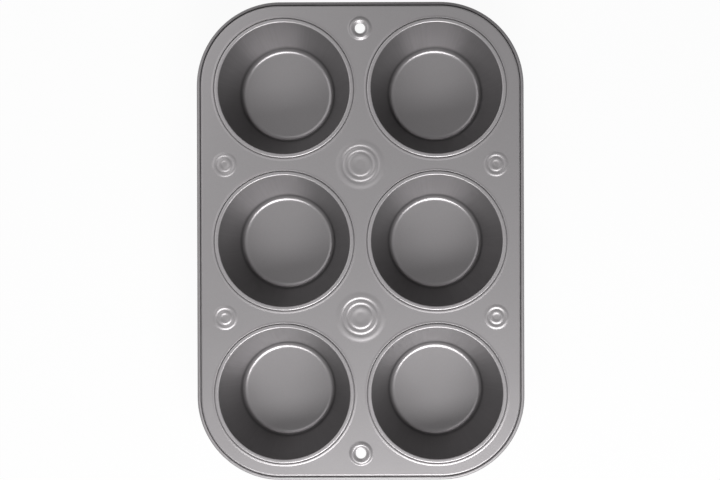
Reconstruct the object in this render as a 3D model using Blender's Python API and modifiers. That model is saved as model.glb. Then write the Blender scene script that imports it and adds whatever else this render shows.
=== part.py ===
"""A jumbo muffin pan: six drawn cups crimped into a stamped frame plate with a wired rim.

The pan stands on its cups. The origin is on the surface under its middle, X runs across the
pan, Y along it and Z up. All sizes are in metres.
"""

import math

import bmesh
import bpy

# Sheet and clearances
SHEET = 0.0006  # thickness of the steel sheet of the plate and the cups
CLEARANCE = 0.0003  # between two sheets that are folded over each other

# Layout
COLUMNS = 2
ROWS = 3
SEAT_GAP = 0.0054  # flat deck between the ridges round two neighbouring cups
SIDE_FLAT = 0.0064  # flat deck from a ridge to the bend of the long sides
END_FLAT = 0.00595  # the same at the two ends
CORNER_EASE = 0.0037  # how much rounder the deck's corners are than the ridges

# Cups
PAN_HEIGHT = 0.048  # from the surface to the top of the cups' lips
MOUTH_RADIUS = 0.0470  # inside the lip
FLOOR_RADIUS = 0.0333  # where the wall's inside would meet the floor
FLOOR_FILLET = 0.0048  # middle of the sheet
LIP_NECK = 0.0015  # upright stretch of wall under the lip
LIP_FLAT = 0.0005  # flat top of the lip, between the neck and the collar
LIP_LEG = 0.0001  # straight end of the lip, outside the collar

# Seats and collars of the frame plate, one for each cup
SEAT_LEDGE = 0.0004  # flat seat that shows outside the lip
RIDGE_RISE = 0.0003  # width of the slope from the seat up to the ridge round it
RIDGE_FALL = 0.0014  # width of the slope from the ridge down to the deck
RIDGE_HEIGHT = 0.0003
COLLAR_BEND = 0.0005

# Wired rim
RIM_BEND = 0.0011  # bend between the deck and the skirt, middle of the sheet
RIM_DROP = 0.0043  # from the deck down to the wire
WIRE_RADIUS = 0.0006
CURL_SLACK = 0.0006  # how far the skirt stands off from the curl beside it
CURL_ANGLE = math.radians(300)
WIRE_BUTT_GAP = 0.001

# Stiffening rings pressed into the deck between the cups
RING_HEIGHT = 0.0004
LARGE_RING_RADIUS = 0.0070  # of the innermost crest
LARGE_RING_SPACING = 0.0038
LARGE_RING_COUNT = 3
LARGE_RING_SKIRT = 0.0038
SMALL_RING_RADIUS = 0.0037
SMALL_RING_SPACING = 0.0036
SMALL_RING_COUNT = 2
SMALL_RING_SKIRT = 0.0018
SMALL_RING_INSET = 0.0159  # from the deck's long edge to the ring's centre

# Hanging holes, one at each end, each in a raised ring
HOLE_RADIUS = 0.0037
HOLE_RIDGE_RADIUS = 0.0063
HOLE_RIDGE_WIDTH = 0.0009
HOLE_RIDGE_HEIGHT = 0.0013
HOLE_FOOT_RADIUS = 0.0088
HOLE_INSET = 0.0151  # from the deck's end to the hole's centre

# Faces round each shape
CUP_STEPS = 32
LARGE_RING_STEPS = 24
SMALL_RING_STEPS = 16
HOLE_STEPS = 16
CORNER_STEPS = 10
CURL_STEPS = 7
HEEL_STEPS = 2
LIP_STEPS = 2
FILLET_STEPS = 3
BEND_STEPS = 3
WELD_DISTANCE = 1e-6
SHARP_ANGLE = math.radians(40)

# Worked out from the sizes above
LIP_RADIUS = SHEET + CLEARANCE  # of the lip's fold, middle of the sheet
COLLAR_RADIUS = MOUTH_RADIUS + SHEET / 2 + LIP_RADIUS + LIP_FLAT
LIP_OUTSIDE = COLLAR_RADIUS + LIP_RADIUS + SHEET / 2
SEAT_RADIUS = LIP_OUTSIDE + SEAT_LEDGE
RIDGE_RADIUS = SEAT_RADIUS + RIDGE_RISE
RIDGE_FOOT_RADIUS = RIDGE_RADIUS + RIDGE_FALL
CUP_PITCH = 2 * RIDGE_FOOT_RADIUS + SEAT_GAP

LIP_CENTRE_Z = PAN_HEIGHT - SHEET / 2 - LIP_RADIUS
DECK_Z = LIP_CENTRE_Z - LIP_LEG - CLEARANCE - SHEET / 2

DECK_HALF_WIDTH = (COLUMNS - 1) * CUP_PITCH / 2 + RIDGE_FOOT_RADIUS + SIDE_FLAT
DECK_HALF_LENGTH = (ROWS - 1) * CUP_PITCH / 2 + RIDGE_FOOT_RADIUS + END_FLAT
DECK_CORNER_RADIUS = RIDGE_FOOT_RADIUS + CORNER_EASE

CURL_RADIUS = WIRE_RADIUS + CLEARANCE + SHEET / 2
WIRE_OFFSET = RIM_BEND + CURL_RADIUS + CURL_SLACK
WIRE_Z = DECK_Z - RIM_DROP

CUP_CENTRES = [
    ((column - (COLUMNS - 1) / 2) * CUP_PITCH, (row - (ROWS - 1) / 2) * CUP_PITCH)
    for row in range(ROWS)
    for column in range(COLUMNS)
]
COLUMN_NAMES = ("left", "right")
ROW_NAMES = ("front", "middle", "rear")
CUP_NAMES = [f"cup_{row}_{column}" for row in ROW_NAMES for column in COLUMN_NAMES]

PLATE_COLOUR = (0.33, 0.325, 0.33, 1.0)
CUP_COLOUR = (0.28, 0.275, 0.28, 1.0)
WIRE_COLOUR = (0.20, 0.20, 0.205, 1.0)


def clear_scene():
    for obj in list(bpy.data.objects):
        bpy.data.objects.remove(obj)


def new_collection(name):
    collection = bpy.data.collections.new(name)
    bpy.context.scene.collection.children.link(collection)
    return collection


def metal(name, colour, roughness):
    material = bpy.data.materials.new(name)
    material.use_nodes = True
    shader = material.node_tree.nodes["Principled BSDF"]
    shader.inputs["Base Color"].default_value = colour
    shader.inputs["Metallic"].default_value = 1.0
    shader.inputs["Roughness"].default_value = roughness
    return material


def arc(centre, radius, start, end, steps):
    """Points along an arc, both ends included. Angles are in radians."""
    angles = [start + (end - start) * i / steps for i in range(steps + 1)]
    return [
        (centre[0] + radius * math.cos(a), centre[1] + radius * math.sin(a))
        for a in angles
    ]


def circle(centre, radius, steps):
    return arc(centre, radius, 0, math.tau, steps)[:-1]


def rounded_rectangle(offset):
    """The deck's outline grown by offset, anticlockwise from the top of its right side."""
    radius = DECK_CORNER_RADIUS + offset
    middle_x = DECK_HALF_WIDTH - DECK_CORNER_RADIUS
    middle_y = DECK_HALF_LENGTH - DECK_CORNER_RADIUS
    corners = ((1, 1), (-1, 1), (-1, -1), (1, -1))
    points = []
    for quarter, (side_x, side_y) in enumerate(corners):
        start = quarter * math.pi / 2
        centre = (side_x * middle_x, side_y * middle_y)
        points += arc(centre, radius, start, start + math.pi / 2, CORNER_STEPS)
    return points


def cup_profile():
    """Middle of a cup's sheet, as (radius, z), from the floor's centre to the lip's edge."""
    floor_z = SHEET / 2
    neck = (MOUTH_RADIUS + SHEET / 2, LIP_CENTRE_Z - LIP_NECK)
    corner = FLOOR_RADIUS + SHEET / 2
    wall_angle = math.atan2(neck[1] - floor_z, neck[0] - corner)
    tangent = FLOOR_FILLET * math.tan(wall_angle / 2)
    fillet_centre = (corner - tangent, floor_z + FLOOR_FILLET)
    down = -math.pi / 2
    fillet = arc(fillet_centre, FLOOR_FILLET, down, down + wall_angle, FILLET_STEPS)
    up = math.pi / 2
    rise_centre = (COLLAR_RADIUS - LIP_FLAT, LIP_CENTRE_Z)
    rise = arc(rise_centre, LIP_RADIUS, math.pi, up, LIP_STEPS)
    fold = arc((COLLAR_RADIUS, LIP_CENTRE_Z), LIP_RADIUS, up, 0, LIP_STEPS)
    leg_end = (COLLAR_RADIUS + LIP_RADIUS, LIP_CENTRE_Z - LIP_LEG)
    return [(0, floor_z), *fillet, neck, *rise, *fold, leg_end]


def collar_profile():
    """Middle of the plate's sheet from a ridge's foot over the seat to its collar's top."""
    bend_centre = (COLLAR_RADIUS + COLLAR_BEND, DECK_Z + COLLAR_BEND)
    bend = arc(bend_centre, COLLAR_BEND, 1.5 * math.pi, math.pi, BEND_STEPS)
    return [
        (RIDGE_FOOT_RADIUS, DECK_Z),
        (RIDGE_RADIUS, DECK_Z + RIDGE_HEIGHT),
        (SEAT_RADIUS, DECK_Z),
        *bend,
        (COLLAR_RADIUS, LIP_CENTRE_Z),
    ]


def ring_profile(first, spacing, count, skirt):
    """Pressed rings from their outer foot to the flat disc in their middle."""
    last = first + spacing * (count - 1)
    points = [(last + skirt, DECK_Z)]
    for ring in range(count):
        crest = last - spacing * ring
        points += [(crest, DECK_Z + RING_HEIGHT), (crest - spacing / 2, DECK_Z)]
    return [*points, (0, DECK_Z)]


def hole_profile():
    """The raised ring round a hanging hole, from its foot in to the hole's edge."""
    crest_z = DECK_Z + HOLE_RIDGE_HEIGHT
    return [
        (HOLE_FOOT_RADIUS, DECK_Z),
        (HOLE_RIDGE_RADIUS + HOLE_RIDGE_WIDTH / 2, crest_z),
        (HOLE_RIDGE_RADIUS - HOLE_RIDGE_WIDTH / 2, crest_z),
        (HOLE_RADIUS, DECK_Z),
    ]


def rim_profile():
    """The wired rim as (distance outside the deck, z): bend, skirt, heel and curl."""
    bend_centre = (0, DECK_Z - RIM_BEND)
    bend = arc(bend_centre, RIM_BEND, math.pi / 2, 0, BEND_STEPS)
    down = 1.5 * math.pi
    heel_centre = (WIRE_OFFSET - CURL_SLACK, WIRE_Z)
    heel = arc(heel_centre, CURL_RADIUS, math.pi, down, HEEL_STEPS)
    curl_centre = (WIRE_OFFSET, WIRE_Z)
    curl = arc(curl_centre, CURL_RADIUS, down, math.pi + CURL_ANGLE, CURL_STEPS)
    return [*bend, *heel, *curl]


def profile_mesh(name, profile):
    """A mesh of the edges that join a profile's (radius, z) points."""
    mesh = bpy.data.meshes.new(name)
    vertices = [(radius, 0, z) for radius, z in profile]
    edges = [(i, i + 1) for i in range(len(profile) - 1)]
    mesh.from_pydata(vertices, edges, [])
    return mesh


def add_turning(obj, steps):
    screw = obj.modifiers.new("turning", "SCREW")
    screw.axis = "Z"
    screw.angle = math.tau
    screw.steps = steps
    screw.render_steps = steps
    screw.use_merge_vertices = True
    screw.merge_threshold = WELD_DISTANCE
    screw.use_smooth_shade = True


def add_thickness(obj):
    solidify = obj.modifiers.new("sheet", "SOLIDIFY")
    solidify.thickness = SHEET
    solidify.offset = 0
    solidify.use_even_offset = True


def evaluated_mesh(obj):
    """The object's mesh with its modifiers applied. The object itself is removed."""
    bpy.context.scene.collection.objects.link(obj)
    graph = bpy.context.evaluated_depsgraph_get()
    mesh = bpy.data.meshes.new_from_object(obj.evaluated_get(graph))
    bpy.data.objects.remove(obj)
    return mesh


def deck_mesh(openings):
    """The flat deck with its round openings, given as (centre, radius, steps)."""
    curve = bpy.data.curves.new("deck", "CURVE")
    curve.dimensions = "2D"
    curve.fill_mode = "BOTH"
    loops = [rounded_rectangle(0)] + [circle(*opening) for opening in openings]
    for loop in loops:
        spline = curve.splines.new("POLY")
        spline.points.add(len(loop) - 1)
        for point, (x, y) in zip(spline.points, loop):
            point.co = (x, y, 0, 1)
        spline.use_cyclic_u = True
    mesh = evaluated_mesh(bpy.data.objects.new("deck", curve))
    for vertex in mesh.vertices:
        vertex.co.z = DECK_Z
    return mesh


def add_rim(bm):
    """Lays the rim's faces from loop to loop of its profile, starting at the deck's edge."""
    loops = [
        [bm.verts.new((x, y, z)) for x, y in rounded_rectangle(offset)]
        for offset, z in rim_profile()
    ]
    for inner, outer in zip(loops, loops[1:]):
        for i in range(len(inner)):
            bm.faces.new((inner[i - 1], outer[i - 1], outer[i], inner[i]))


def plate_features():
    """The deck's round features, each as (profile, steps, centres)."""
    row_gaps = [(row - (ROWS - 2) / 2) * CUP_PITCH for row in range(ROWS - 1)]
    column_gaps = [(column - (COLUMNS - 2) / 2) * CUP_PITCH for column in range(COLUMNS - 1)]
    side_x = DECK_HALF_WIDTH - SMALL_RING_INSET
    hole_y = DECK_HALF_LENGTH - HOLE_INSET
    large_rings = ring_profile(
        LARGE_RING_RADIUS, LARGE_RING_SPACING, LARGE_RING_COUNT, LARGE_RING_SKIRT
    )
    small_rings = ring_profile(
        SMALL_RING_RADIUS, SMALL_RING_SPACING, SMALL_RING_COUNT, SMALL_RING_SKIRT
    )
    large_centres = [(x, y) for x in column_gaps for y in row_gaps]
    small_centres = [(x, y) for x in (-side_x, side_x) for y in row_gaps]
    hole_centres = [(x, y) for x in column_gaps for y in (-hole_y, hole_y)]
    return [
        (collar_profile(), CUP_STEPS, CUP_CENTRES),
        (large_rings, LARGE_RING_STEPS, large_centres),
        (small_rings, SMALL_RING_STEPS, small_centres),
        (hole_profile(), HOLE_STEPS, hole_centres),
    ]


def add_feature(bm, profile, steps, centres):
    """Turns a profile and puts a copy at each centre."""
    pattern = bpy.data.objects.new("pattern", profile_mesh("pattern", profile))
    add_turning(pattern, steps)
    mesh = evaluated_mesh(pattern)
    for x, y in centres:
        known = set(bm.verts)
        bm.from_mesh(mesh)
        added = [vertex for vertex in bm.verts if vertex not in known]
        bmesh.ops.translate(bm, verts=added, vec=(x, y, 0))


def make_frame_plate(material):
    """The stamped plate: deck, ridges, seats, collars, pressed rings, holes and rim."""
    features = plate_features()
    openings = [
        (centre, profile[0][0], steps)
        for profile, steps, centres in features
        for centre in centres
    ]
    bm = bmesh.new()
    bm.from_mesh(deck_mesh(openings))
    bmesh.ops.beautify_fill(bm, faces=bm.faces, edges=bm.edges, method="ANGLE")
    add_rim(bm)
    for profile, steps, centres in features:
        add_feature(bm, profile, steps, centres)
    bmesh.ops.remove_doubles(bm, verts=bm.verts, dist=WELD_DISTANCE)
    bmesh.ops.recalc_face_normals(bm, faces=bm.faces)
    mesh = bpy.data.meshes.new("frame_plate")
    bm.to_mesh(mesh)
    bm.free()
    mesh.shade_smooth()
    mesh.set_sharp_from_angle(angle=SHARP_ANGLE)
    mesh.materials.append(material)
    plate = bpy.data.objects.new("frame_plate", mesh)
    add_thickness(plate)
    return plate


def make_cups(material):
    """The cups, which share one profile."""
    mesh = profile_mesh("cup", cup_profile())
    mesh.materials.append(material)
    cups = []
    for name, (x, y) in zip(CUP_NAMES, CUP_CENTRES):
        cup = bpy.data.objects.new(name, mesh)
        cup.location = (x, y, 0)
        add_turning(cup, CUP_STEPS)
        add_thickness(cup)
        cups.append(cup)
    return cups


def make_rim_wire(material):
    """One wire inside the rim's curl, its ends butted at the middle of the right side."""
    loop = rounded_rectangle(WIRE_OFFSET)
    side_x = loop[0][0]
    ends = [(side_x, WIRE_BUTT_GAP / 2), (side_x, -WIRE_BUTT_GAP / 2)]
    curve = bpy.data.curves.new("rim_wire", "CURVE")
    curve.dimensions = "3D"
    curve.bevel_depth = WIRE_RADIUS
    curve.bevel_resolution = 2
    curve.use_fill_caps = True
    spline = curve.splines.new("POLY")
    points = [ends[0], *loop, ends[1]]
    spline.points.add(len(points) - 1)
    for point, (x, y) in zip(spline.points, points):
        point.co = (x, y, WIRE_Z, 1)
    curve.materials.append(material)
    return bpy.data.objects.new("rim_wire", curve)


def main():
    clear_scene()
    plate_coating = metal("plate_coating", PLATE_COLOUR, 0.38)
    cup_coating = metal("cup_coating", CUP_COLOUR, 0.34)
    bare_wire = metal("bare_wire", WIRE_COLOUR, 0.45)
    pan = new_collection("jumbo_muffin_pan")
    pan.objects.link(make_frame_plate(plate_coating))
    pan.objects.link(make_rim_wire(bare_wire))
    for cup in make_cups(cup_coating):
        pan.objects.link(cup)


main()
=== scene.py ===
"""Looks of the jumbo muffin pan: smooth coated sheet-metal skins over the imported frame.

The pan stands on its cups at z = 0. X runs across it, Y along it and Z up, in metres.
"""

import math

import bmesh
import bpy
from mathutils import Matrix, Vector


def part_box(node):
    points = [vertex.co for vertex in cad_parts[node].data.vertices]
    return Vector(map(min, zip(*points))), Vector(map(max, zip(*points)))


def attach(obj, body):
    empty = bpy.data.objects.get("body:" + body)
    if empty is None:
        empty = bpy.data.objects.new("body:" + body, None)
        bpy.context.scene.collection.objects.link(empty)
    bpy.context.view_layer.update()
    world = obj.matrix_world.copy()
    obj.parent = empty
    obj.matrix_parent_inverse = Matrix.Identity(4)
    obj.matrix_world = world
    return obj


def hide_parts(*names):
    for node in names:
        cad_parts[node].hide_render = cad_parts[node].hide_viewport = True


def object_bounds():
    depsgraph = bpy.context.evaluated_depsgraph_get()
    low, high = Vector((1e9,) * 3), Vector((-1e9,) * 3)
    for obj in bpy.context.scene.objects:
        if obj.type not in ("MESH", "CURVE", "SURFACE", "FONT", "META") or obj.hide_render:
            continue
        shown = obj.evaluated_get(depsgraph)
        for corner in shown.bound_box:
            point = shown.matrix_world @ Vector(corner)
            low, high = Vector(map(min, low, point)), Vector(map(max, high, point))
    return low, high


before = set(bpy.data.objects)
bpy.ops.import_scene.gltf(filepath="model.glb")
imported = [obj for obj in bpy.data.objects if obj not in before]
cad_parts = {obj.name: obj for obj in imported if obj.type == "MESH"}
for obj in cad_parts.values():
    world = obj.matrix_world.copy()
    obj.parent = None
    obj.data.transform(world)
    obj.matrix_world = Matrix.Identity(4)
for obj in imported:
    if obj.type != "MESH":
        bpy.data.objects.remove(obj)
cad_low, cad_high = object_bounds()

# Sizes read from the frame
_, plate_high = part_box("frame_plate")
wire_low, wire_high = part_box("rim_wire")
CUP_NAMES = sorted(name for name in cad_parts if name.startswith("cup_"))
CUP_CENTRES = {name: sum(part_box(name), Vector()) / 2 for name in CUP_NAMES}
cup_low, cup_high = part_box(CUP_NAMES[0])

SHEET = 0.0006  # thickness of the steel sheet
LIP_OUTSIDE = (cup_high.x - cup_low.x) / 2
WIRE_RADIUS = (wire_high.z - wire_low.z) / 2
WIRE_Z = (wire_high.z + wire_low.z) / 2
CURL_RADIUS = plate_high.x - wire_high.x + WIRE_RADIUS - SHEET / 2  # middle of the sheet

# Seat of each cup in the plate, and the low ridge round it. Bends are to the sheet's middle
SEAT_LEDGE = 0.0004  # flat seat that shows outside the lip
SEAT_DEPTH = 0.0004  # of the seat under the deck, which leaves a dark seam beside the lip
SEAT_BEND = 0.0003
COLLAR_BEND = 0.0005
RIDGE_RISE = 0.0003  # width of the slope from the seat up to the ridge
RIDGE_FALL = 0.0014  # width of the slope from the ridge down to the deck
RIDGE_HEIGHT = 0.0003
RIDGE_BEND = 0.0004
SEAT_RADIUS = LIP_OUTSIDE + SEAT_LEDGE
RIDGE_RADIUS = SEAT_RADIUS + RIDGE_RISE
RIDGE_FOOT_RADIUS = RIDGE_RADIUS + RIDGE_FALL

# Deck and wired rim
RIM_BEND = 0.0008  # bend between the deck and the skirt, middle of the sheet
RIM_DROP = 0.0043  # from the deck down to the wire
CURL_SLACK = 0.0009  # how far the skirt stands off from the curl beside it
CURL_ANGLE = math.radians(300)  # from the skirt's foot round to the sheet's end
CORNER_EASE = 0.0037  # how much rounder the deck's corners are than the ridges
SUPPORT = 0.0004  # flat margin that keeps the deck's shading flat beside each form
DECK_Z = WIRE_Z + RIM_DROP
RIM_WIDTH = RIM_BEND + 2 * CURL_RADIUS + CURL_SLACK + SHEET / 2
DECK_HALF_WIDTH = plate_high.x - RIM_WIDTH
DECK_HALF_LENGTH = plate_high.y - RIM_WIDTH
DECK_CORNER_RADIUS = RIDGE_FOOT_RADIUS + CORNER_EASE

# Cups. Their lips lie tight on the collars, where the solids keep a gap
FLOOR_RADIUS = 0.0333  # where the wall's inside would meet the floor
FLOOR_FILLET = 0.0048  # middle of the sheet
MOUTH_RADIUS = 0.0470  # inside the lip
NECK = 0.0010  # upright stretch of wall under the lip
NECK_BEND = 0.0040  # between the slanted wall and the neck
LIP_BEND = SHEET  # of the lip's two bends, middle of the sheet
LIP_HEIGHT = 0.0013  # from the deck's face up to the lip's top
LIP_GAP = 0.00005  # of the lip's edge over the deck's face
LIP_BEND_Z = DECK_Z + LIP_HEIGHT - LIP_BEND
COLLAR_RADIUS = LIP_OUTSIDE - SHEET / 2 - LIP_BEND

# Stiffening rings pressed into the deck
RING_HEIGHT = 0.00042
LARGE_RING_RADIUS = 0.0070  # of the innermost crest
LARGE_RING_SPACING = 0.0038
LARGE_RING_COUNT = 3
LARGE_RING_SKIRT = 0.0038  # from the outermost crest to the flat deck
SMALL_RING_RADIUS = 0.0037
SMALL_RING_SPACING = 0.0036
SMALL_RING_COUNT = 2
SMALL_RING_SKIRT = 0.0019
SMALL_RING_INSET = 0.0159  # from the deck's long edge to the ring's centre
DISH_FLAT = 0.4  # flat part of the dish inside the innermost crest, as a share of its radius

# Hanging holes, each in a raised ring
HOLE_RADIUS = 0.0037
HOLE_CREST_RADIUS = 0.0063
HOLE_CREST_HEIGHT = 0.0013
HOLE_FOOT_RADIUS = 0.0088
HOLE_INSET = 0.0151  # from the deck's end to the hole's centre

# Faces round each form, or along it
CUP_STEPS = 144
LARGE_RING_STEPS = 96
SMALL_RING_STEPS = 64
HOLE_STEPS = 64
CORNER_STEPS = 36
ARC_STEPS = 12  # along each bend of a cup and of the rim
CURL_STEPS = 36
BEND_STEPS = 4  # along each bend of a seat and its ridge
WAVE_STEPS = 8  # along each slope of a pressed or raised ring
WELD_DISTANCE = 1e-6
CENTRE_DECIMALS = 6  # to which the centres of the cups in one row or column agree
MILLIMETRE = 0.001  # flat outlines are filled at this scale, because filling loses fine detail
SHARP_ANGLE = math.radians(50)  # sharper creases aren't shaded smooth

# The photograph's frame, in pixels, and the camera that took it
PHOTO_WIDTH = 720
PHOTO_HEIGHT = 480
PITCH_PIXELS = 153.0  # between the middles of neighbouring cups' mouths
PAN_CENTRE_PIXEL = (360.5, 240.7)
NADIR_PIXEL = (392, 260)  # the point straight below the camera
CAMERA_ABOVE_LIPS = 1.05
CAMERA_ROLL = math.radians(-0.16)
SENSOR_WIDTH = 36.0

# Coating. A roughness is its least and its greatest, a noise its scale and its detail
PLATE_TONE = 0.4
CUP_TONE = 0.405
COATING_TINT = Vector((1.0, 0.962, 0.981))
COATING_METALLIC = 0.5
COATING_SPECULAR = 0.3
COATING_SHINE = (0.3, 0.3, 0.3, 1.0)  # tint of its specular reflection
PLATE_ROUGHNESS = (0.32, 0.38)
CUP_ROUGHNESS = (0.26, 0.32)
FLAKE_NOISE = (2600.0, 2.0)
FLAKE_CONTRAST = 0.1  # how far a flake's tone goes from the coating's own
CLOUD_NOISE = (28.0, 3.0)  # of the slow changes in roughness
PEEL_NOISE = (700.0, 2.0)
PEEL_HEIGHT = 0.00002

# On a cup: a painted highlight on the lip, painted shade down the wall and darker painted shade at
# its foot, and fine lines of drawing up the wall
LIP_PAINTED_HIGHLIGHT = 1.15
WALL_PAINTED_SHADE = 0.6
LINE_NOISE = (30.0, 3.0)
LINE_SWING = 2.0  # spreads the noise, which keeps near its middle
LINE_CONTRAST = 0.05
BAND_LOW = 0.0010  # heights between which the band of painted shade lies, inside the cup
BAND_HIGH = 0.0090
BAND_MIDDLE = (BAND_LOW + BAND_HIGH) / 2
# painted shade at the middle of the foot band
FOOT_PAINTED_SHADE = 0.55
INWARD = -0.5  # outward share of a face's normal from which it counts as fully inside

# Painted shade darkens the curl's coating, which is also duller than the deck's
CURL_PAINTED_SHADE = 0.8
CURL_DULLING = 0.3  # added to its roughness

# Bare wire, darkened as painted shade of the groove it lies in
WIRE_PAINTED_SHADE_DARK = (0.16, 0.16, 0.165, 1.0)
WIRE_PAINTED_SHADE_LIGHT = (0.24, 0.24, 0.245, 1.0)
WIRE_ROUGHNESS = 0.45
WIRE_NOISE = (1500.0, 3.0)

# Studio. Headings of lamps run from the front, -Y, round by the right
WHITE = (1.0, 1.0, 1.0, 1.0)
SKY_LEVEL = 0.0  # of the sky's own light, because the lamps light the pan alone
SKY_WHITE = 1.0  # share of plain white in what the camera sees of the sky
SKY_WHITE_IN_GLOSS = 0.5
FLOOR_COLOUR = (0.9, 0.9, 0.9, 1.0)
FLOOR_ROUGHNESS = 0.9
FLOOR_WHITE = 0.95  # share of plain white in what the camera and gloss see of the floor
FLOOR_HALF_WIDTH = 6.0
FLOOR_Z = -0.0001  # just under the cups, so that no two faces share a plane
KEY_DISTANCE = 1.0
KEY_HEADING = math.radians(10)
KEY_FROM_ZENITH = math.radians(38)
KEY_SIZE = (1.0, 0.25)
KEY_WATTS = 7.2
LOW_KEY_FROM_ZENITH = math.radians(56)
LOW_KEY_SIZE = (0.5, 0.3)
LOW_KEY_WATTS = 4.0
FILL_DISTANCE = 0.6
FILL_HEADING = math.radians(232)
FILL_FROM_ZENITH = math.radians(45)
FILL_SIZE = (0.6, 0.4)
FILL_WATTS = 0.65


def arc(centre, radius, start, end, steps=ARC_STEPS):
    """Points along an arc, both ends included. Angles are in radians."""
    angles = [start + (end - start) * i / steps for i in range(steps + 1)]
    return [
        (centre[0] + radius * math.cos(a), centre[1] + radius * math.sin(a))
        for a in angles
    ]


def circle(centre, radius, steps):
    """Points round a circle, the first of them only once."""
    return arc(centre, radius, 0, math.tau, steps)[:-1]


def rounded_rectangle(offset):
    """The deck's outline grown by offset, anticlockwise from the top of its right side."""
    radius = DECK_CORNER_RADIUS + offset
    middle_x = DECK_HALF_WIDTH - DECK_CORNER_RADIUS
    middle_y = DECK_HALF_LENGTH - DECK_CORNER_RADIUS
    corners = ((1, 1), (-1, 1), (-1, -1), (1, -1))
    points = []
    for quarter, (side_x, side_y) in enumerate(corners):
        start = quarter * math.pi / 2
        centre = (side_x * middle_x, side_y * middle_y)
        points += arc(centre, radius, start, start + math.pi / 2, CORNER_STEPS)
    return points


def rounded_path(corners, steps=ARC_STEPS):
    """Straight stretches through (radius, z, bend) corners, each corner rounded by its bend."""
    path = [corners[0][:2]]
    for before, (radius, z, bend), after in zip(corners, corners[1:], corners[2:]):
        corner = Vector((radius, z))
        along = (corner - Vector(before[:2])).normalized()
        onward = (Vector(after[:2]) - corner).normalized()
        turn = -along.angle_signed(onward)
        side = Vector((-along.y, along.x)) * math.copysign(1, turn)
        start = corner - along * bend * math.tan(abs(turn) / 2)
        centre = start + side * bend
        for i in range(steps + 1):
            spoke = Matrix.Rotation(turn * i / steps, 2) @ (start - centre)
            path.append(tuple(centre + spoke))
    return [*path, corners[-1][:2]]


def wave(share):
    """A smooth fall from 1 to 0 as share goes from 0 to 1."""
    return (1 + math.cos(math.pi * share)) / 2


def waved_path(stations):
    """A smooth line over the deck through (radius, height) stations, level at each of them."""
    path = [stations[0]]
    for (start, low), (end, high) in zip(stations, stations[1:]):
        for i in range(1, WAVE_STEPS + 1):
            share = i / WAVE_STEPS
            path.append((start + (end - start) * share, high + (low - high) * wave(share)))
    return [(radius, DECK_Z + height) for radius, height in path]


def cup_profile():
    """Middle of a cup's sheet, as (radius, z), from the floor's centre to the lip's edge."""
    floor_z = SHEET / 2
    wall_top = MOUTH_RADIUS + SHEET / 2
    corners = [
        (0, floor_z, 0),
        (FLOOR_RADIUS + SHEET / 2, floor_z, FLOOR_FILLET),
        (wall_top, LIP_BEND_Z - NECK, NECK_BEND),
        (wall_top, LIP_BEND_Z, 0),
    ]
    up = math.pi / 2
    rise = arc((wall_top + LIP_BEND, LIP_BEND_Z), LIP_BEND, math.pi, up)
    fold = arc((COLLAR_RADIUS, LIP_BEND_Z), LIP_BEND, up, 0)
    edge = (COLLAR_RADIUS + LIP_BEND, DECK_Z + SHEET / 2 + LIP_GAP)
    return rounded_path(corners)[:-1] + [*rise, *fold, edge]


def collar_profile():
    """Middle of the plate's sheet from the flat deck over a cup's seat to its collar's top."""
    corners = [
        (RIDGE_FOOT_RADIUS + SUPPORT, DECK_Z, 0),
        (RIDGE_FOOT_RADIUS, DECK_Z, RIDGE_BEND),
        (RIDGE_RADIUS, DECK_Z + RIDGE_HEIGHT, RIDGE_BEND),
        (SEAT_RADIUS, DECK_Z - SEAT_DEPTH, SEAT_BEND),
        (COLLAR_RADIUS, DECK_Z - SEAT_DEPTH, COLLAR_BEND),
        (COLLAR_RADIUS, LIP_BEND_Z, 0),
    ]
    return rounded_path(corners, BEND_STEPS)


def ring_profile(first, spacing, count, skirt):
    """Pressed rings from the flat deck outside them to the middle of the dish inside them."""
    foot = first + spacing * (count - 1) + skirt
    stations = [(foot, 0)]
    for ring in reversed(range(count)):
        crest = first + spacing * ring
        stations += [(crest, RING_HEIGHT), (crest - spacing / 2, 0)]
    stations[-1] = (first * DISH_FLAT, 0)
    return [(foot + SUPPORT, DECK_Z), *waved_path(stations), (0, DECK_Z)]


def hole_profile():
    """The raised ring round a hanging hole, from the flat deck in to the hole's edge."""
    stations = [(HOLE_FOOT_RADIUS, 0), (HOLE_CREST_RADIUS, HOLE_CREST_HEIGHT), (HOLE_RADIUS, 0)]
    return [(HOLE_FOOT_RADIUS + SUPPORT, DECK_Z), *waved_path(stations)]


def rim_profile():
    """The wired rim as (distance outside the deck, z): bend, skirt, heel and curl."""
    bend = arc((0, DECK_Z - RIM_BEND), RIM_BEND, math.pi / 2, 0)
    down = 1.5 * math.pi
    heel_centre = (RIM_BEND + CURL_RADIUS, WIRE_Z)
    heel = arc(heel_centre, CURL_RADIUS, math.pi, down)
    curl_centre = (heel_centre[0] + CURL_SLACK, WIRE_Z)
    curl = arc(curl_centre, CURL_RADIUS, down, math.pi + CURL_ANGLE, CURL_STEPS)
    return [(-SUPPORT, DECK_Z), *bend, *heel, *curl]


def evaluated_mesh(obj):
    """The object's mesh with its modifiers applied. The object itself is removed."""
    bpy.context.scene.collection.objects.link(obj)
    graph = bpy.context.evaluated_depsgraph_get()
    mesh = bpy.data.meshes.new_from_object(obj.evaluated_get(graph))
    bpy.data.objects.remove(obj)
    return mesh


def turned_mesh(profile, steps):
    """A surface that turns a profile of (radius, z) points about Z."""
    mesh = bpy.data.meshes.new("profile")
    vertices = [(radius, 0, z) for radius, z in profile]
    edges = [(i, i + 1) for i in range(len(profile) - 1)]
    mesh.from_pydata(vertices, edges, [])
    obj = bpy.data.objects.new("profile", mesh)
    screw = obj.modifiers.new("turning", "SCREW")
    screw.axis = "Z"
    screw.angle = math.tau
    screw.steps = steps
    screw.render_steps = steps
    screw.use_merge_vertices = True
    screw.merge_threshold = WELD_DISTANCE
    return evaluated_mesh(obj)


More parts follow.
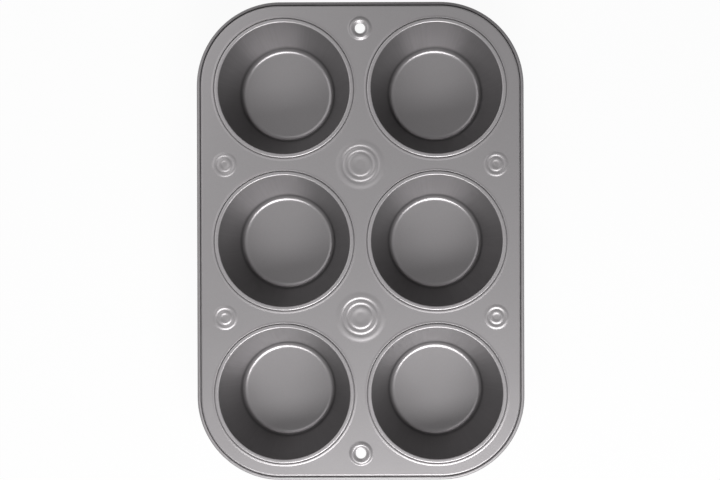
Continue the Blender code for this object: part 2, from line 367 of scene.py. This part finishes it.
def thick_mesh(name, surface, material):
    """A sheet of even thickness whose middle is the surface, shaded smooth."""
    obj = bpy.data.objects.new(name, surface)
    solidify = obj.modifiers.new("sheet", "SOLIDIFY")
    solidify.thickness = SHEET
    solidify.offset = 0
    solidify.use_even_offset = True
    mesh = evaluated_mesh(obj)
    mesh.name = name
    mesh.materials.append(material)
    mesh.shade_smooth()
    mesh.set_sharp_from_angle(angle=SHARP_ANGLE)
    return mesh


def place_piece(name, mesh, node, location=(0, 0, 0)):
    """Shows a mesh in place of a solid and ties it to the pan."""
    piece = bpy.data.objects.new(name, mesh)
    piece.location = location
    bpy.context.scene.collection.objects.link(piece)
    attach(piece, "root")
    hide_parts(node)


def deck_mesh(openings):
    """The flat deck with its round openings, given as (centre, radius, steps)."""
    curve = bpy.data.curves.new("deck", "CURVE")
    curve.dimensions = "2D"
    curve.fill_mode = "BOTH"
    loops = [rounded_rectangle(-SUPPORT)] + [circle(*opening) for opening in openings]
    for loop in loops:
        spline = curve.splines.new("POLY")
        spline.points.add(len(loop) - 1)
        for point, (x, y) in zip(spline.points, loop):
            point.co = (x / MILLIMETRE, y / MILLIMETRE, 0, 1)
        spline.use_cyclic_u = True
    mesh = evaluated_mesh(bpy.data.objects.new("deck", curve))
    mesh.transform(Matrix.Translation((0, 0, DECK_Z)) @ Matrix.Scale(MILLIMETRE, 4))
    return mesh


def add_rim(bm):
    """Lays faces from loop to loop of the rim's profile, starting at the deck's edge."""
    loops = [
        [bm.verts.new((x, y, z)) for x, y in rounded_rectangle(offset)]
        for offset, z in rim_profile()
    ]
    for inner, outer in zip(loops, loops[1:]):
        for corners in zip(inner, outer, outer[1:] + outer[:1], inner[1:] + inner[:1]):
            bm.faces.new(corners)


def plate_features():
    """The deck's round features, each as (profile from its outside in, steps, centres)."""
    across = sorted({round(centre.x, CENTRE_DECIMALS) for centre in CUP_CENTRES.values()})
    along = sorted({round(centre.y, CENTRE_DECIMALS) for centre in CUP_CENTRES.values()})
    column_gaps = [(a + b) / 2 for a, b in zip(across, across[1:])]
    row_gaps = [(a + b) / 2 for a, b in zip(along, along[1:])]
    side_x = DECK_HALF_WIDTH - SMALL_RING_INSET
    hole_y = DECK_HALF_LENGTH - HOLE_INSET
    large_rings = ring_profile(
        LARGE_RING_RADIUS, LARGE_RING_SPACING, LARGE_RING_COUNT, LARGE_RING_SKIRT
    )
    small_rings = ring_profile(
        SMALL_RING_RADIUS, SMALL_RING_SPACING, SMALL_RING_COUNT, SMALL_RING_SKIRT
    )
    cup_centres = [centre.xy for centre in CUP_CENTRES.values()]
    large_centres = [(x, y) for x in column_gaps for y in row_gaps]
    small_centres = [(x, y) for x in (-side_x, side_x) for y in row_gaps]
    hole_centres = [(x, y) for x in column_gaps for y in (-hole_y, hole_y)]
    return [
        (collar_profile(), CUP_STEPS, cup_centres),
        (large_rings, LARGE_RING_STEPS, large_centres),
        (small_rings, SMALL_RING_STEPS, small_centres),
        (hole_profile(), HOLE_STEPS, hole_centres),
    ]


def add_feature(bm, profile, steps, centres):
    """Turns a profile and puts a copy at each centre."""
    mesh = turned_mesh(profile, steps)
    for x, y in centres:
        known = set(bm.verts)
        bm.from_mesh(mesh)
        added = [vertex for vertex in bm.verts if vertex not in known]
        bmesh.ops.translate(bm, verts=added, vec=(x, y, 0))


def make_plate(material):
    """The stamped plate, smooth and whole, in place of its faceted solid."""
    features = plate_features()
    openings = [
        (centre, profile[0][0], steps)
        for profile, steps, centres in features
        for centre in centres
    ]
    bm = bmesh.new()
    bm.from_mesh(deck_mesh(openings))
    bmesh.ops.beautify_fill(bm, faces=bm.faces, edges=bm.edges, method="ANGLE")
    add_rim(bm)
    for profile, steps, centres in features:
        add_feature(bm, profile, steps, centres)
    bmesh.ops.remove_doubles(bm, verts=bm.verts, dist=WELD_DISTANCE)
    bmesh.ops.recalc_face_normals(bm, faces=bm.faces)
    surface = bpy.data.meshes.new("plate_surface")
    bm.to_mesh(surface)
    bm.free()
    mesh = thick_mesh("plate_skin", surface, material)
    place_piece("plate_skin", mesh, "frame_plate")


def make_cups(material):
    """The drawn cups, which share one mesh."""
    mesh = thick_mesh("cup_skin", turned_mesh(cup_profile(), CUP_STEPS), material)
    for name, centre in CUP_CENTRES.items():
        place_piece(f"{name}_skin", mesh, name, (centre.x, centre.y, 0))


def set_inputs(tree, node, inputs):
    """Gives each input its value, or a link where the value is another node's output."""
    for key, value in inputs.items():
        if isinstance(value, bpy.types.NodeSocket):
            tree.links.new(value, node.inputs[key])
        else:
            node.inputs[key].default_value = value


def add_node(tree, kind, inputs, **settings):
    """A new node with its settings and inputs."""
    node = tree.nodes.new(kind)
    for key, value in settings.items():
        setattr(node, key, value)
    set_inputs(tree, node, inputs)
    return node


def add_place(tree):
    """Each point's place in its object's own axes."""
    return tree.nodes.new("ShaderNodeTexCoord").outputs["Object"]


def add_height(tree, place):
    return add_node(tree, "ShaderNodeSeparateXYZ", {"Vector": place}).outputs["Z"]


def add_noise(tree, place, scale, detail):
    """A cloudy value between 0 and 1."""
    inputs = {"Vector": place, "Scale": scale, "Detail": detail}
    return add_node(tree, "ShaderNodeTexNoise", inputs).outputs["Fac"]


def add_range(tree, value, low, high, start=0.0, end=1.0):
    """Low where the value is at start or under it, high where it is at end or over it."""
    inputs = {
        "Value": value,
        "From Min": start,
        "From Max": end,
        "To Min": low,
        "To Max": high,
    }
    return add_node(tree, "ShaderNodeMapRange", inputs).outputs["Result"]


def add_math(tree, operation, *values):
    inputs = dict(enumerate(values))
    return add_node(tree, "ShaderNodeMath", inputs, operation=operation).outputs[0]


def add_vector_math(tree, operation, inputs):
    """The outputs of a calculation with vectors, which are named Vector and Value."""
    return add_node(tree, "ShaderNodeVectorMath", inputs, operation=operation).outputs


def add_mixed_colour(tree, share, first, second):
    """The first colour where share is 0, the second where it is 1."""
    inputs = {"Fac": share, "Color1": first, "Color2": second}
    return add_node(tree, "ShaderNodeMixRGB", inputs).outputs["Color"]


def wall_lines(tree, heading, height):
    """Shares about 1 that draw fine lines up the wall and fade out towards the floor."""
    fine = add_noise(tree, heading, *LINE_NOISE)
    swing = add_range(tree, fine, -LINE_SWING, LINE_SWING)
    contrast = add_range(tree, height, 0.0, LINE_CONTRAST, BAND_LOW, BAND_HIGH)
    return add_math(tree, "MULTIPLY_ADD", swing, contrast, 1.0)


def painted_wall_shade_and_lip_highlight(tree, height):
    """Tone shares: all on the floor, painted shade up the wall, painted highlight on the lip."""
    wall = add_range(tree, height, 1.0, WALL_PAINTED_SHADE, BAND_LOW, BAND_MIDDLE)
    lip = add_range(tree, height, 0.0, LIP_PAINTED_HIGHLIGHT - WALL_PAINTED_SHADE, LIP_BEND_Z - NECK / 2, LIP_BEND_Z)
    return add_math(tree, "ADD", wall, lip)


def painted_foot_shade(tree, heading, height):
    """Painted shade: a dark band round the foot of the wall's inside, darkest at its middle."""
    normal = tree.nodes.new("ShaderNodeTexCoord").outputs["Normal"]
    outward = add_vector_math(tree, "DOT_PRODUCT", {0: normal, 1: heading})["Value"]
    inside = add_range(tree, outward, 1.0, 0.0, INWARD, 0.0)
    from_middle = add_math(tree, "ABSOLUTE", add_math(tree, "SUBTRACT", height, BAND_MIDDLE))
    near = add_range(tree, from_middle, 1.0, 0.0, 0.0, BAND_HIGH - BAND_MIDDLE)
    depth = add_math(tree, "MULTIPLY", inside, near)
    return add_range(tree, depth, 1.0, FOOT_PAINTED_SHADE)


def drawing_lines_and_painted_light(tree, place):
    """Share of a cup's tone: drawn lines, painted shade and highlight. It adds no roughness."""
    height = add_height(tree, place)
    flat = add_vector_math(tree, "MULTIPLY", {0: place, 1: (1.0, 1.0, 0.0)})["Vector"]
    heading = add_vector_math(tree, "NORMALIZE", {0: flat})["Vector"]
    lines = wall_lines(tree, heading, height)
    share = add_math(tree, "MULTIPLY", lines, painted_wall_shade_and_lip_highlight(tree, height))
    return add_math(tree, "MULTIPLY", share, painted_foot_shade(tree, heading, height)), 0.0


def curl_painted_shade_and_dulling(tree, place):
    """Painted shade, as the plate's tone share down on the rim's curl, and added roughness."""
    height = add_height(tree, place)
    share = add_range(tree, height, CURL_PAINTED_SHADE, 1.0, WIRE_Z, DECK_Z - RIM_BEND)
    dulling = add_range(tree, height, CURL_DULLING, 0.0, WIRE_Z, DECK_Z - RIM_BEND)
    return share, dulling


def new_material(name):
    """A material with nodes, its node tree and its shader."""
    material = bpy.data.materials.new(name)
    material.use_nodes = True
    tree = material.node_tree
    return material, tree, tree.nodes["Principled BSDF"]


def coating_material(name, tone, roughness, marks_and_painted_light):
    """Grey non-stick coating: a satin metallic film with fine flake and a faint orange peel.

    The last argument gives each place's tone share, painted light included, and its roughness gain.
    """
    material, tree, shader = new_material(name)
    place = add_place(tree)
    share, dulling = marks_and_painted_light(tree, place)
    flake = add_noise(tree, place, *FLAKE_NOISE)
    dark = (*COATING_TINT * tone * (1 - FLAKE_CONTRAST), 1.0)
    light = (*COATING_TINT * tone * (1 + FLAKE_CONTRAST), 1.0)
    colour = add_mixed_colour(tree, flake, dark, light)
    cloud = add_noise(tree, place, *CLOUD_NOISE)
    peel = {"Height": add_noise(tree, place, *PEEL_NOISE), "Distance": PEEL_HEIGHT, "Strength": 1.0}
    looks = {
        "Base Color": add_vector_math(tree, "SCALE", {0: colour, "Scale": share})["Vector"],
        "Metallic": COATING_METALLIC,
        "Roughness": add_math(tree, "ADD", add_range(tree, cloud, *roughness), dulling),
        "Specular IOR Level": COATING_SPECULAR,
        "Specular Tint": COATING_SHINE,
        "Normal": add_node(tree, "ShaderNodeBump", peel).outputs["Normal"],
    }
    set_inputs(tree, shader, looks)
    return material


def painted_shade_wire_material():
    """Bare drawn steel wire, seen only where the curl is open, darkened as painted shade."""
    material, tree, shader = new_material("bare_wire")
    grain = add_noise(tree, add_place(tree), *WIRE_NOISE)
    looks = {
        "Base Color": add_mixed_colour(tree, grain, WIRE_PAINTED_SHADE_DARK, WIRE_PAINTED_SHADE_LIGHT),
        "Metallic": 1.0,
        "Roughness": WIRE_ROUGHNESS,
    }
    set_inputs(tree, shader, looks)
    return material


def whiten(tree, shaded, output, camera_share, gloss_share):
    """Mixes white into a floor or sky: one share for the camera, one for gloss and glass."""
    path = tree.nodes.new("ShaderNodeLightPath")
    shares = {
        "Is Camera Ray": camera_share,
        "Is Glossy Ray": gloss_share,
        "Is Transmission Ray": gloss_share,
    }
    amount = 0.0
    for ray, share in shares.items():
        inputs = {0: path.outputs[ray], 1: share, 2: amount}
        added = add_node(tree, "ShaderNodeMath", inputs, operation="MULTIPLY_ADD", use_clamp=True)
        amount = added.outputs[0]
    white = add_node(tree, "ShaderNodeEmission", {"Color": WHITE}).outputs[0]
    mixed = add_node(tree, "ShaderNodeMixShader", {0: amount, 1: shaded, 2: white})
    set_inputs(tree, output, {"Surface": mixed.outputs[0]})


def make_floor():
    """A wide pale floor that keeps the pan's shadow."""
    mesh = bpy.data.meshes.new("floor")
    bm = bmesh.new()
    bmesh.ops.create_grid(bm, x_segments=1, y_segments=1, size=FLOOR_HALF_WIDTH)
    bm.to_mesh(mesh)
    bm.free()
    floor = bpy.data.objects.new("floor", mesh)
    floor.location.z = FLOOR_Z
    bpy.context.scene.collection.objects.link(floor)
    material, tree, shader = new_material("floor")
    set_inputs(tree, shader, {"Base Color": FLOOR_COLOUR, "Roughness": FLOOR_ROUGHNESS})
    output = tree.nodes["Material Output"]
    whiten(tree, shader.outputs[0], output, FLOOR_WHITE, FLOOR_WHITE)
    mesh.materials.append(material)


def make_world():
    """The sky of a white studio."""
    world = bpy.data.worlds.new("studio")
    bpy.context.scene.world = world
    world.use_nodes = True
    tree = world.node_tree
    sky = tree.nodes["Background"]
    set_inputs(tree, sky, {"Color": WHITE, "Strength": SKY_LEVEL})
    whiten(tree, sky.outputs[0], tree.nodes["World Output"], SKY_WHITE, SKY_WHITE_IN_GLOSS)


def add_softbox(name, distance, from_zenith, heading, size, watts):
    """A rectangular lamp that faces the pan's middle and isn't seen by the camera."""
    light = bpy.data.lights.new(name, "AREA")
    light.shape = "RECTANGLE"
    light.size, light.size_y = size
    light.energy = watts
    lamp = bpy.data.objects.new(name, light)
    aside = distance * math.sin(from_zenith)
    lamp.location = (
        aside * math.sin(heading),
        -aside * math.cos(heading),
        distance * math.cos(from_zenith),
    )
    lamp.rotation_euler = (-lamp.location).to_track_quat("-Z", "Y").to_euler()
    lamp.visible_camera = False
    bpy.context.scene.collection.objects.link(lamp)


def add_camera():
    """Looks straight down, with the frame shifted so that the nadir falls on its own pixel."""
    camera = bpy.data.cameras.new("camera")
    across = sorted(centre.x for centre in CUP_CENTRES.values())
    pitch = across[-1] - across[0]
    metres_per_pixel = pitch / PITCH_PIXELS
    camera.sensor_width = SENSOR_WIDTH
    camera.lens = CAMERA_ABOVE_LIPS / metres_per_pixel * SENSOR_WIDTH / PHOTO_WIDTH
    camera.shift_x = (PHOTO_WIDTH / 2 - NADIR_PIXEL[0]) / PHOTO_WIDTH
    camera.shift_y = (NADIR_PIXEL[1] - PHOTO_HEIGHT / 2) / PHOTO_WIDTH
    view = bpy.data.objects.new("camera", camera)
    view.location = (
        (NADIR_PIXEL[0] - PAN_CENTRE_PIXEL[0]) * metres_per_pixel,
        (PAN_CENTRE_PIXEL[1] - NADIR_PIXEL[1]) * metres_per_pixel,
        cad_high.z + CAMERA_ABOVE_LIPS,
    )
    view.rotation_euler = (0, 0, CAMERA_ROLL)
    bpy.context.scene.collection.objects.link(view)
    bpy.context.scene.camera = view


make_plate(coating_material("plate_coating", PLATE_TONE, PLATE_ROUGHNESS, curl_painted_shade_and_dulling))
make_cups(coating_material("cup_coating", CUP_TONE, CUP_ROUGHNESS, drawing_lines_and_painted_light))
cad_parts["rim_wire"].data.materials[0] = painted_shade_wire_material()
make_floor()
make_world()
add_softbox("key", KEY_DISTANCE, KEY_FROM_ZENITH, KEY_HEADING, KEY_SIZE, KEY_WATTS)
add_softbox(
    "low_key", KEY_DISTANCE, LOW_KEY_FROM_ZENITH, KEY_HEADING, LOW_KEY_SIZE, LOW_KEY_WATTS
)
add_softbox("fill", FILL_DISTANCE, FILL_FROM_ZENITH, FILL_HEADING, FILL_SIZE, FILL_WATTS)
add_camera()
bpy.context.scene.view_settings.view_transform = "Standard"
